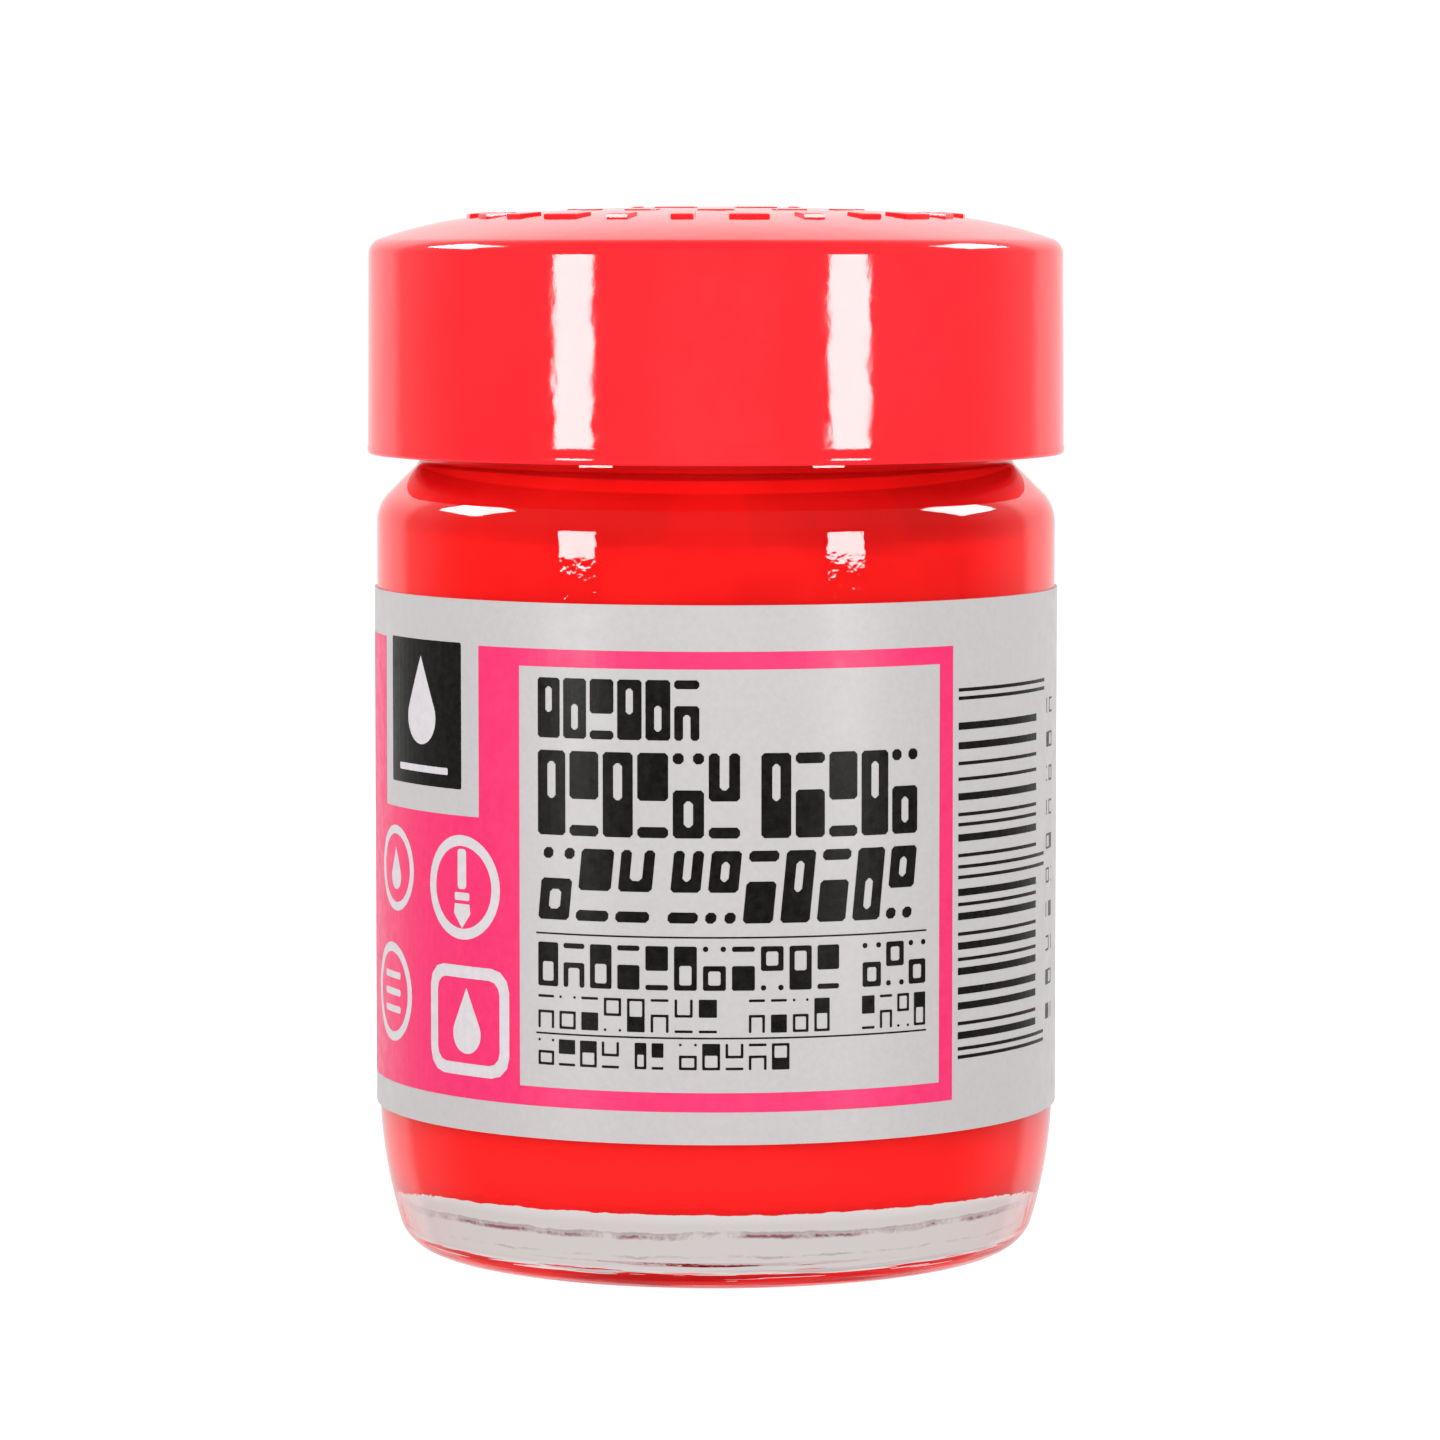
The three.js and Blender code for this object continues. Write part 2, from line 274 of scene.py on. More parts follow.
def make_glass_jar():
    neck, below = jar_inside()
    lip = arc(MOUTH_RADIUS + RIM_FILLET, RIM_Z - RIM_FILLET, RIM_FILLET, 90, 180, 8)
    bore = line(lip[-1], neck, 0.6)
    neck_foot_z = SHOULDER_START_Z + 4.5

    def moulded(turns, r, z):
        """Adds the thread to the neck and the slow waviness of moulded glass to the body."""
        if z > neck_foot_z and r > NECK_RADIUS - 0.01:
            return r + thread_rise(turns, z, JAR_THREAD_Z, *JAR_THREAD_TURNS), z
        spot = Vector((math.cos(TAU * turns), math.sin(TAU * turns), z / 14))
        return r + GLASS_WAVE * noise.noise(spot * 2.2), z

    piece = revolve("jar_glass", [*jar_outside(), *lip[1:-1], *bore, neck, *below], moulded)
    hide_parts("glass_jar")
    return piece


def make_paint():
    """Opaque paint. Its skin lies just inside the glass wall, as wet paint leaves no air there."""
    (mouth_radius, neck_z), below = jar_inside(PAINT_OVERLAP)
    level = PAINT_TOP_Z - MENISCUS
    meniscus_reach = 0.9
    raggedness = 0.1
    ridge_height = 0.12
    surface = [(0, level)]
    steps = 24
    for i in range(1, steps + 1):
        r = mouth_radius * i / steps
        surface.append((r, level + MENISCUS * math.exp((r - mouth_radius) / meniscus_reach)))

    def stirred(turns, r, z):
        """Low swirls on the paint's surface, and a ragged edge where it meets the glass floor."""
        x, y = r * math.cos(TAU * turns), r * math.sin(TAU * turns)
        if z < FLOOR_Z + 1.6 and r > 6:
            return r, z + raggedness * noise.noise(Vector((x / 0.9, y / 0.9, 2)))
        if z < level - 0.2 or r > mouth_radius - 0.5:
            return r, z
        calm = smoothstep(mouth_radius - r, 0.5, 4)
        return r, z + ridge_height * calm * noise.noise(Vector((x / 5, y / 3.2, 4.5)))

    in_neck = line((mouth_radius, PAINT_TOP_Z), (mouth_radius, neck_z), 0.6)[1:]
    profile = [*surface, *in_neck, (mouth_radius, neck_z), *below]
    piece = revolve("paint", profile[::-1], stirred)
    for face in piece.data.polygons:
        open_surface = face.center.z > (level - 0.2) * MM and face.normal.z > 0.3
        face.material_index = 1 if open_surface else 0
    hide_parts("paint_fill")
    return piece


def make_paint_film():
    """The thin ragged coat of paint left up the inside of the neck when the jar was tipped."""
    outer = MOUTH_RADIUS + PAINT_OVERLAP
    inner = MOUTH_RADIUS - 0.1
    foot = PAINT_TOP_Z - 0.9
    usual_height, least_height, most_height = 5.6, 3.6, 9

    def ragged(turns, r, z):
        """Stretches the coat, drawn 1 mm high, to its own height at each angle."""
        spot = Vector((math.cos(TAU * turns), math.sin(TAU * turns), 0))
        height = usual_height + 2.6 * noise.noise(spot * 1.3)
        height += noise.noise(spot * 4.1 + Vector((3, 1, 2)))
        height += 0.35 * noise.noise(spot * 17)
        return r, foot + (z - foot) * min(most_height, max(least_height, height))

    profile = [
        *line((outer, foot), (outer, foot + 0.96), 0.08),
        (outer, foot + 0.96), (outer - 0.06, foot + 1), (inner, foot + 0.97),
        *line((inner, foot + 0.9), (inner, foot), 0.08),
        (inner, foot),
    ]
    return revolve("paint_film", profile, ragged, closed=True)


# ---------------------------------------------------------------- cap and liner


def cap_crown():
    """The outer skin above the straight side: corner, rounded shoulder and flat dome. The slope
    where shoulder and corner meet follows from the three radii."""
    dome_turn = math.asin(DOME_REACH / DOME_RADIUS)
    corner_r = CAP_TOP_RADIUS - CAP_CORNER_RADIUS
    shoulder_r = DOME_REACH - CAP_SHOULDER_RADIUS * math.sin(dome_turn)
    gap = CAP_SHOULDER_RADIUS - CAP_CORNER_RADIUS
    shoulder_turn = math.asin((corner_r - shoulder_r) / gap)
    dome_z = CAP_TOP_Z - DOME_RADIUS
    shoulder_z = dome_z + (DOME_RADIUS - CAP_SHOULDER_RADIUS) * math.cos(dome_turn)
    corner_z = shoulder_z + gap * math.cos(shoulder_turn)
    dome_start = 90 - math.degrees(dome_turn)
    shoulder_start = 90 - math.degrees(shoulder_turn)
    return [
        *arc(corner_r, corner_z, CAP_CORNER_RADIUS, 0, shoulder_start, 12),
        *arc(shoulder_r, shoulder_z, CAP_SHOULDER_RADIUS, shoulder_start, dome_start, 14)[1:],
        *arc(0, dome_z, DOME_RADIUS, dome_start, 90, 12)[1:-1],
        (0, CAP_TOP_Z),
    ]


def dome_height(r):
    """Height of the cap's flat dome at radius r."""
    return CAP_TOP_Z - DOME_RADIUS + math.sqrt(DOME_RADIUS**2 - r * r)


def make_cap():
    """The shell from the middle of its roof, down the bore and up the outside to the dome."""
    seat_z = LINER_TOP_Z + LINER_GAP
    bead_z = LINER_BOTTOM_Z - 0.4
    underside = [(0, seat_z + 1.2), (7, seat_z + 1.1), (14, seat_z + 0.8), (15.3, seat_z + 0.1)]
    seat = [(15.5, seat_z), (CAP_BORE_RADIUS - 0.2, seat_z), (CAP_BORE_RADIUS, seat_z - 0.2)]
    bead = [
        (CAP_BORE_RADIUS, bead_z + BEAD_HALF), (CAP_BORE_RADIUS - 0.3, bead_z + 0.16),
        (CAP_BORE_RADIUS - BEAD_RISE, bead_z), (CAP_BORE_RADIUS - 0.3, bead_z - 0.16),
    ]
    mouth = arc(
        CAP_BORE_RADIUS + CAP_MOUTH_FILLET, CAP_BOTTOM_Z + CAP_MOUTH_FILLET, CAP_MOUTH_FILLET,
        180, 270, 5,
    )
    bore = line((CAP_BORE_RADIUS, bead_z - BEAD_HALF), mouth[0], 0.14)
    edge = arc(
        CAP_RADIUS - CAP_EDGE_FILLET, CAP_BOTTOM_Z + CAP_EDGE_FILLET, CAP_EDGE_FILLET, -90, 0, 6
    )
    lip_top = CAP_BOTTOM_Z + CAP_LIP_HEIGHT
    lip = [(CAP_RADIUS, lip_top - 0.12), (CAP_RADIUS - 0.04, lip_top)]
    crown = cap_crown()
    side = line(lip[-1], crown[0], 0.9)[1:]
    sink_marks = 0.012

    def moulded(turns, r, z):
        """Adds the thread to the bore, and the slight sink marks of a moulded skirt outside."""
        if r < CAP_BORE_RADIUS + 0.01 and z < bead_z - 0.3:
            return r - thread_rise(turns, z, CAP_THREAD_Z, *CAP_THREAD_TURNS), z
        if r > CAP_BORE_RADIUS + 1 and lip_top < z < CAP_TOP_Z - 2.5:
            spot = Vector((math.cos(TAU * turns) * 2.4, math.sin(TAU * turns) * 2.4, z / 9))
            return r + sink_marks * noise.noise(spot), z
        return r, z

    profile = [*underside, *seat, *bead, *bore, *mouth, *edge, *lip, *side, *crown]
    piece = revolve("cap_shell", profile, moulded)
    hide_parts("screw_cap")
    return piece


def raised_bar(angle, half_width, inner, outer, height):
    """Vertices and faces of one raised mark that follows the dome, from radius inner to outer. Its
    foot is sunk in the dome, and its top is smaller than its foot."""
    steps = 4
    sunk = 0.25
    vertices = []
    for inset, rise in ((0, -sunk), (0.02, height * 0.8), (0.1, height)):
        low_r, high_r = inner + inset, outer - inset
        spread = half_width - math.degrees(inset / MARK_RING_RADIUS)
        rim = []
        for i in range(steps + 1):
            rim.append((low_r, angle - spread + 2 * spread * i / steps))
        for i in range(steps + 1):
            rim.append((high_r, angle + spread - 2 * spread * i / steps))
        for r, at in rim:
            turn = math.radians(at)
            vertices.append((r * math.sin(turn), -r * math.cos(turn), dome_height(r) + rise))
    count = 2 * (steps + 1)
    faces = [tuple(range(count)), tuple(range(2 * count, 3 * count))[::-1]]
    for layer in (0, count):
        for i in range(count):
            j = (i + 1) % count
            faces.append((layer + j, layer + i, layer + count + i, layer + count + j))
    return vertices, faces


def make_cap_marks():
    """A plain ring of raised bars and two rings of low dashes, moulded on the cap's top."""
    vertices = []
    faces = []

    def add(*bar):
        new_vertices, new_faces = raised_bar(*bar)
        start = len(vertices)
        vertices.extend(new_vertices)
        faces.extend(tuple(start + v for v in face) for face in new_faces)

    inner, outer = MARK_RING_RADIUS - MARK_HALF_DEPTH, MARK_RING_RADIUS + MARK_HALF_DEPTH
    bars = 24
    for i in range(bars):
        half_width = 2.6 if i % 3 else 4.6
        add(360 * (i + 0.5) / bars, half_width, inner, outer, MARK_RISE)
    for i in range(12):
        add(30 * i, 7, 8.2, 8.8, DASH_RISE)
    for i in range(6):
        add(60 * i + 30, 16, 4.4, 5, DASH_RISE)
    return add_object("cap_marks", vertices, faces, 30)


def make_liner():
    """A disc of foamed plastic with the ring that the jar's rim has pressed into it."""
    edge = 0.15
    rim_radius = (MOUTH_RADIUS + NECK_RADIUS) / 2
    rim_half = 0.9
    depth = 0.1
    underside = []
    steps = 60
    for i in range(steps + 1):
        r = (LINER_RADIUS - edge) * i / steps
        pressed = depth * math.exp(-(((r - rim_radius) / rim_half) ** 2))
        underside.append((r, LINER_BOTTOM_Z + pressed))
    rim = [
        (LINER_RADIUS, LINER_BOTTOM_Z + edge), (LINER_RADIUS, LINER_TOP_Z - edge),
        (LINER_RADIUS - edge, LINER_TOP_Z),
    ]
    piece = revolve("liner_disc", [*underside, *rim, (8, LINER_TOP_Z), (0, LINER_TOP_Z)])
    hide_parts("cap_liner")
    return piece


# ---------------------------------------------------------------- label and its print


def round_the_jar(angle, radius, z):
    """A place given by its angle from the label's front, as x, y and z."""
    turn = math.radians(angle)
    return radius * math.sin(turn), -radius * math.cos(turn), z


def make_label():
    """A paper strip wrapped once round the jar. Its end lies over its start at the back."""
    steps = 360 + LABEL_LAP
    start = -180
    lap_from = 360 / (360 + LABEL_LAP)
    row_count = 12
    height = LABEL_TOP_Z - LABEL_BOTTOM_Z
    rows = [LABEL_BOTTOM_Z + height * i / row_count for i in range(row_count + 1)]
    inner = LABEL_RADIUS - LABEL_THICKNESS
    outline = []
    for i in range(steps + 1):
        share = i / steps
        lift = LAP_LIFT * smoothstep(share, lap_from - 0.006, lap_from)
        outline.append((start + (360 + LABEL_LAP) * share, inner + lift))
    section = [(a, r) for a, r in outline] + [(a, r + LABEL_THICKNESS) for a, r in outline[::-1]]
    vertices = [round_the_jar(a, r, z) for z in rows for a, r in section]
    count = len(section)
    faces = []
    for row in range(len(rows) - 1):
        for i in range(count):
            j = (i + 1) % count
            a, b = row * count + i, row * count + j
            faces.append((b, a, a + count, b + count))
    top = (len(rows) - 1) * count
    for i in range(steps):
        mirror = count - 1 - i
        faces.append((i, i + 1, mirror - 1, mirror))
        faces.append((top + mirror, top + mirror - 1, top + i + 1, top + i))
    piece = add_object("paper_label", vertices, faces, 50)
    for face in piece.data.polygons:
        inwards = face.normal.x * face.center.x + face.normal.y * face.center.y < 0
        face.material_index = 1 if inwards and abs(face.normal.z) < 0.5 else 0
    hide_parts("wrap_label")
    return piece


class Ink:
    """Flat shapes of one ink, in millimetres along the label and up it, wrapped on the paper."""

    def __init__(self, name, rise):
        self.name = name
        self.rise = rise
        self.outlines = []

    def outline(self, points):
        """Adds a closed outline. One inside another cuts a hole in it."""
        self.outlines.append(points)

    def block(self, left, right, low, high, corner=0):
        """A rectangle, with round corners where corner is their radius."""
        if corner <= 0:
            self.outline([(left, low), (right, low), (right, high), (left, high)])
            return
        points = []
        for x, z, start in (
            (right - corner, low + corner, -90), (right - corner, high - corner, 0),
            (left + corner, high - corner, 90), (left + corner, low + corner, 180),
        ):
            points.extend(arc(x, z, corner, start, start + 90, 3))
        self.outline(points)

    def circle(self, x, z, radius):
        self.outline(arc(x, z, radius, 0, 360, 40)[:-1])

    def piece(self):
        """Fills the outlines, even-odd, and bends them round the jar as a thin closed solid."""
        curve = bpy.data.curves.new(self.name + "_flat", "CURVE")
        curve.dimensions = "2D"
        curve.fill_mode = "BOTH"
        curve.extrude = self.rise / 2
        for points in self.outlines:
            spline = curve.splines.new("POLY")
            spline.points.add(len(points) - 1)
            for slot, (x, z) in zip(spline.points, points):
                slot.co = (x, z, 0, 1)
            spline.use_cyclic_u = True
        flat = bpy.data.objects.new(self.name + "_flat", curve)
        bpy.context.scene.collection.objects.link(flat)
        bpy.context.view_layer.update()
        graph = bpy.context.evaluated_depsgraph_get()
        mesh = bpy.data.meshes.new_from_object(flat.evaluated_get(graph))
        bpy.data.objects.remove(flat)
        bpy.data.curves.remove(curve)
        self.wrap(mesh)
        mesh.name = self.name
        piece = bpy.data.objects.new(self.name, mesh)
        bpy.context.scene.collection.objects.link(piece)
        return piece

    def wrap(self, mesh):
        """Cuts the flat shapes into narrow strips and bends them round the jar."""
        cut_step = 0.6
        work = bmesh.new()
        work.from_mesh(mesh)
        bmesh.ops.remove_doubles(work, verts=work.verts, dist=1e-4)
        left = min(v.co.x for v in work.verts)
        right = max(v.co.x for v in work.verts)
        for i in range(1, math.ceil((right - left) / cut_step)):
            bmesh.ops.bisect_plane(
                work, geom=[*work.verts, *work.edges, *work.faces],
                plane_co=(left + i * cut_step, 0, 0), plane_no=(1, 0, 0), dist=1e-4,
            )
        for vertex in work.verts:
            across, up, out = vertex.co
            radius = LABEL_RADIUS + self.rise / 2 - INK_SUNK + out
            angle = math.degrees(across / LABEL_RADIUS)
            vertex.co = Vector(round_the_jar(angle, radius, up)) * MM
        bmesh.ops.recalc_face_normals(work, faces=work.faces)
        work.to_mesh(mesh)
        work.free()


def along(angle):
    """Distance along the label from its front, in millimetres, for an angle round the jar."""
    return math.radians(angle) * LABEL_RADIUS


# Signs that stand for print and are letters of no alphabet: boxes, cups and arches with bars and
# dots. Each is three columns and five rows, from the top down. The outer columns and the odd rows
# are a stroke wide.
SIGNS = [
    "###/#.#/###/.../#.#", "#.#/.../###/#.#/###", "#.#/#.#/###/.../###", "###/.../###/#.#/#.#",
    "###/###/###/.../###", "###/.../###/###/###", "###/###/#.#/#.#/###", "###/#.#/#.#/###/###",
]


def sign_loops(sign, columns, rows):
    """The closed outlines round a sign's filled cells. columns and rows are the cells' edges."""
    cells = [list(row) for row in sign.split("/")][::-1]

    def filled(i, j):
        return 0 <= j < len(cells) and 0 <= i < len(cells[0]) and cells[j][i] == "#"

    edges = {}
    for j, row in enumerate(cells):
        for i in range(len(row)):
            if not filled(i, j):
                continue
            a, b, c, d = (i, j), (i + 1, j), (i + 1, j + 1), (i, j + 1)
            for side_i, side_j, start, end in (
                (i, j - 1, a, b), (i + 1, j, b, c), (i, j + 1, c, d), (i - 1, j, d, a),
            ):
                if not filled(side_i, side_j):
                    edges[start] = end
    loops = []
    while edges:
        here = next(iter(edges))
        loop = []
        while here in edges:
            loop.append(here)
            here = edges.pop(here)
        corners = []
        for k, (i, j) in enumerate(loop):
            before, after = loop[k - 1], loop[(k + 1) % len(loop)]
            if (before[0] == i) != (after[0] == i):
                corners.append((columns[i], rows[j]))
        loops.append(corners)
    return loops


def cut_corners(points, cut):
    """Takes a small flat off each corner of a closed outline."""
    result = []
    for k, here in enumerate(points):
        for other in (points[k - 1], points[(k + 1) % len(points)]):
            share = min(0.4, cut / math.dist(here, other))
            result.append(tuple(a + (b - a) * share for a, b in zip(here, other)))
    return result


def print_word(ink, start, end, low, high, count, stroke, chance, gap, slant=0, turned=False):
    """A word of count signs from angle start to end and from low to high, with strokes of one
    thickness and gaps between the signs. turned sets it upwards along the label."""
    first, last = (low, high) if turned else (along(start), along(end))
    foot, head = (along(end), along(start)) if turned else (low, high)
    pitch = (last - first + gap) / count
    before = None
    step = math.copysign(stroke, head - foot)
    tall = (head - foot - 3 * step) / 2
    rows = [foot, foot + step, foot + step + tall, head - step - tall, head - step, head]
    for i in range(count):
        left = first + i * pitch
        right = left + pitch - gap
        columns = [left, left + stroke, right - stroke, right]
        sign = chance.choice([s for s in SIGNS if s != before])
        before = sign
        for loop in sign_loops(sign, columns, rows):
            loop = cut_corners([(x + (z - foot) * slant, z) for x, z in loop], stroke * 0.28)
            ink.outline([(z, x) for x, z in loop] if turned else loop)


def drop_outline(x, z, radius):
    """A drop with its point up. radius is that of its round part."""
    tip = (x, z + 2.3 * radius)
    return [*arc(x, z, radius, 155, 385, 28), tip]


def print_front_text(black):
    """Rows of block signs inside the pink frame, sized and placed as a paint label's text. A row is
    its lowest and highest z, its stroke, gap and slant, and each word's angles and count of signs."""
    chance = random.Random(11)
    rows = [
        (31.6, 35.0, 0.5, 0.22, 0, [(-29.9, -2.6, 6)]),
        (26.1, 30.9, 0.62, 0.26, 0, [(-29.9, 3.9, 6), (7.3, 34.5, 5)]),
        (21.3, 25.4, 0.62, 0.42, 0.1, [(-29.9, -10.8, 3), (-7.8, 33.3, 7)]),
        (17.5, 20.0, 0.3, 0.34, 0, [(-29.9, 20.2, 11), (24.3, 36.2, 3)]),
        (15.1, 17.0, 0.15, 0.34, 0, [(-29.9, 0.2, 8), (5.3, 18.6, 4), (24.2, 36.2, 4)]),
        (13.0, 14.5, 0.15, 0.3, 0, [(-29.9, -15.7, 4), (-13.1, -8.4, 2), (-5.9, 11.9, 5)]),
    ]
    for low, high, stroke, gap, slant, words in rows:
        for start, end, count in words:
            print_word(black, start, end, low, high, count, stroke, chance, gap, slant)
    half_rule = 0.05
    for rule_z in (20.5, 14.8):
        black.block(along(-30.3), along(36.4), rule_z - half_rule, rule_z + half_rule)


def print_bar_pattern(black):
    """A pattern of stripes that holds no number, with signs where its digits would be. Its three
    pairs of longer stripes stand at the ends and in the middle."""
    chance = random.Random(23)
    low, high = 12.9, 34.15
    left, short_right, long_right = along(43.3), along(67.3), along(71.5)
    thin, medium, thick = 0.2, 0.42, 0.75
    middle = (low + high) / 2
    pairs = [low, low + 0.48, middle - 0.3, middle + 0.3, high - 0.48 - thin, high - thin]
    for z in pairs:
        black.block(left, long_right, z, z + thin)
    for start, end in ((pairs[1], pairs[2]), (pairs[3], pairs[4])):
        z = start + thin + 0.45
        while z < end - 0.7:
            thickness = min(chance.choice([thin, thin, medium, medium, thick]), end - 0.35 - z)
            black.block(left, short_right, z, z + thickness)
            z += thickness + chance.choice([0.38, 0.45, 0.7])
    print_word(black, 73, 77, low + 1.2, high - 1.2, 10, 0.12, chance, 1.1, turned=True)


def print_pink(pink):
    """The pink ground: a frame round the text that runs on to the left, notched at its top."""
    left, right, low, high = along(-168), along(42), 10.6, 36.6
    notch_left, notch_right, notch_low = along(-72), along(-42), 26.8
    pink.outline([
        (left, low), (right, low), (right, high), (notch_right, high),
        (notch_right, notch_low), (notch_left, notch_low), (notch_left, high), (left, high),
    ])
    pink.block(along(-33.5), along(39.1), 11.7, 35.6)


def print_badge(black, pale):
    """A black badge with a plain drop on it, in the notch of the pink ground."""
    left, right, low, high = along(-68.4), along(-46.1), 28.3, 36.7
    black.block(left, right, low, high, 0.15)
    middle = (left + right) / 2
    pale.outline(drop_outline(middle, 32.2, 1.55))
    pale.block(left + 1.2, right - 1.2, low + 0.75, low + 1.15, 0.1)


def ring(ink, x, z, radius, stroke):
    """A round line, made of a disc with a smaller one cut out of it."""
    ink.circle(x, z, radius)
    ink.circle(x, z, radius - stroke)


def print_pictograms(pale):
    """Plain signs on the pink ground: a brush in a ring, a drop in a frame, a drop in a ring and
    three lines in a ring."""
    x = along(-46)
    ring(pale, x, 22.7, 3, 0.62)
    handle_half, collar_half, hair_half = 0.36, 0.62, 0.7
    pale.block(x - handle_half, x + handle_half, 22.6, 24.9, 0.2)
    pale.block(x - collar_half, x + collar_half, 21.95, 22.4, 0.1)
    pale.outline([
        (x - collar_half, 21.75), (x - hair_half, 21.2), (x, 20.35), (x + hair_half, 21.2),
        (x + collar_half, 21.75),
    ])
    x = along(-45)
    pale.block(x - 3.3, x + 3.3, 11.9, 18.2, 1.3)
    pale.block(x - 2.6, x + 2.6, 12.6, 17.5, 0.8)
    pale.outline(drop_outline(x, 14.3, 1.15))
    x = along(-67)
    ring(pale, x, 23.2, 2.5, 0.5)
    pale.outline(drop_outline(x, 22.7, 0.75))
    x, z = along(-69), 15.9
    ring(pale, x, z, 2.9, 0.55)
    for row in (-1, 0, 1):
        pale.block(x - 1.3, x + 1.3, z + row - 0.2, z + row + 0.2, 0.15)


def print_back_text(black, pale):
    """Small print round the sides and back, as rows of signs on the pink and on the bare paper."""
    chance = random.Random(5)
    gap = 0.3
    sign_step = 2.9  # degrees from one sign to the next

    def row_of_words(ink, start, end, low, high, stroke):
        while start < end:
            count = chance.randint(3, 7)
            print_word(ink, start, start + count * sign_step, low, high, count, stroke, chance, gap)
            start += (count + 1) * sign_step

    for row in range(7):
        z = 31.4 - 2.7 * row
        row_of_words(pale, -156, -118 + 8 * chance.random(), z, z + 1.3, 0.14)
    for row in range(5):
        z = 30.6 - 3.2 * row
        row_of_words(black, 92, 118 + 12 * chance.random(), z, z + 1.4, 0.15)


def make_label_print():
    """The label's print in its three inks, each a piece of its own."""
    pink = Ink("label_pink_ink", INK_RISE)
    black = Ink("label_black_ink", INK_RISE)
    pale = Ink("label_pale_ink", OVERPRINT_RISE)
    print_pink(pink)
    print_front_text(black)
    print_bar_pattern(black)
    print_badge(black, pale)
    print_pictograms(pale)
    print_back_text(black, pale)
    return pink.piece(), black.piece(), pale.piece()


# ---------------------------------------------------------------- materials


class Material:
    """A node material with a Principled shader, and short ways to add procedural nodes to it."""

    def __init__(self, name, colour, roughness, **sockets):
        self.material = bpy.data.materials.new(name)
        self.material.use_nodes = True
        self.tree = self.material.node_tree
        self.shader = self.tree.nodes["Principled BSDF"]
        self.shader.inputs["Base Color"].default_value = (*colour, 1)
        self.shader.inputs["Roughness"].default_value = roughness
        for socket, value in sockets.items():
            self.shader.inputs[socket.replace("_", " ")].default_value = value
        self.place = self.tree.nodes.new("ShaderNodeTexCoord").outputs["Object"]

    def node(self, kind, **settings):
        node = self.tree.nodes.new("ShaderNode" + kind)
        for name, value in settings.items():
            setattr(node, name, value)
        return node

    def link(self, start, end):
        self.tree.links.new(start, end)

    def stretched(self, scale):
        """Object coordinates scaled per axis, for a grain that runs one way."""
        mapping = self.node("Mapping")
        self.link(self.place, mapping.inputs["Vector"])
        mapping.inputs["Scale"].default_value = scale
        return mapping.outputs["Vector"]

    def noise(self, size_mm, detail=3, roughness=0.5, stretch=None):
        """Noise whose features are about size_mm across."""
        node = self.node("TexNoise")
        self.link(self.stretched(stretch) if stretch else self.place, node.inputs["Vector"])
        node.inputs["Scale"].default_value = 1 / (size_mm * MM)
        node.inputs["Detail"].default_value = detail
        node.inputs["Roughness"].default_value = roughness
        return node.outputs["Fac"]

    def spread(self, value, low, high, from_low=0.3, from_high=0.7):
        """Maps a value between from_low and from_high, noise's usual range, to low and high."""
        node = self.node("MapRange")
        self.link(value, node.inputs["Value"])
        for socket, number in (
            ("From Min", from_low), ("From Max", from_high), ("To Min", low), ("To Max", high),
        ):
            node.inputs[socket].default_value = number
        return node.outputs["Result"]

    def mixed(self, value, low, high):
        """A colour from low to high. Each is a colour or the output of another node."""
        node = self.node("Mix", data_type="RGBA")
        self.link(value, node.inputs["Factor"])
        for name, colour in (("A", low), ("B", high)):
            if isinstance(colour, tuple):
                node.inputs[name].default_value = (*colour, 1)
            else:
                self.link(colour, node.inputs[name])
        return node.outputs["Result"]

    def colour_between(self, value, low, high):
        self.link(self.mixed(value, low, high), self.shader.inputs["Base Color"])

    def maths(self, operation, *values):
        """One step of arithmetic on the outputs of other nodes."""
        node = self.node("Math", operation=operation)
        for socket, value in zip(node.inputs, values):
            self.link(value, socket)
        return node.outputs["Value"]

    def along_axis(self, axis):
        """The place along X, Y or Z, in metres."""
        split = self.node("SeparateXYZ")
        self.link(self.place, split.inputs["Vector"])
        return split.outputs[axis]

    def bumps(self, *layers):
        """Adds bump layers, each a value, a height in millimetres and a strength."""
        last = None
        for value, height_mm, strength in layers:
            bump = self.node("Bump")
            bump.inputs["Distance"].default_value = height_mm * MM
            bump.inputs["Strength"].default_value = strength
            self.link(value, bump.inputs["Height"])
            if last:
                self.link(last, bump.inputs["Normal"])
            last = bump.outputs["Normal"]
        self.link(last, self.shader.inputs["Normal"])


def dark_heel_line(glass, z, below, height, half_width, colour, amount):
    """Laid over the colour below, a thin broken dark line round the heel's front. amount is the range
    of patchy noise over which the line grows from missing to full."""
    wander = 0.2
    line_z = glass.spread(glass.noise(6, 6, 0.7), (height - wander) * MM, (height + wander) * MM)
    distance = glass.maths("ABSOLUTE", glass.maths("SUBTRACT", z, line_z))
    share = glass.spread(distance, 1, 0, half_width * 0.3 * MM, half_width * MM)
    patchy = glass.spread(glass.noise(3.5, 6, 0.75), 0, 1, *amount)
    front = glass.spread(glass.along_axis("Y"), 1, 0, -12 * MM, -5 * MM)
    share = glass.maths("MULTIPLY", glass.maths("MULTIPLY", share, patchy), front)
    return glass.mixed(share, below, colour)


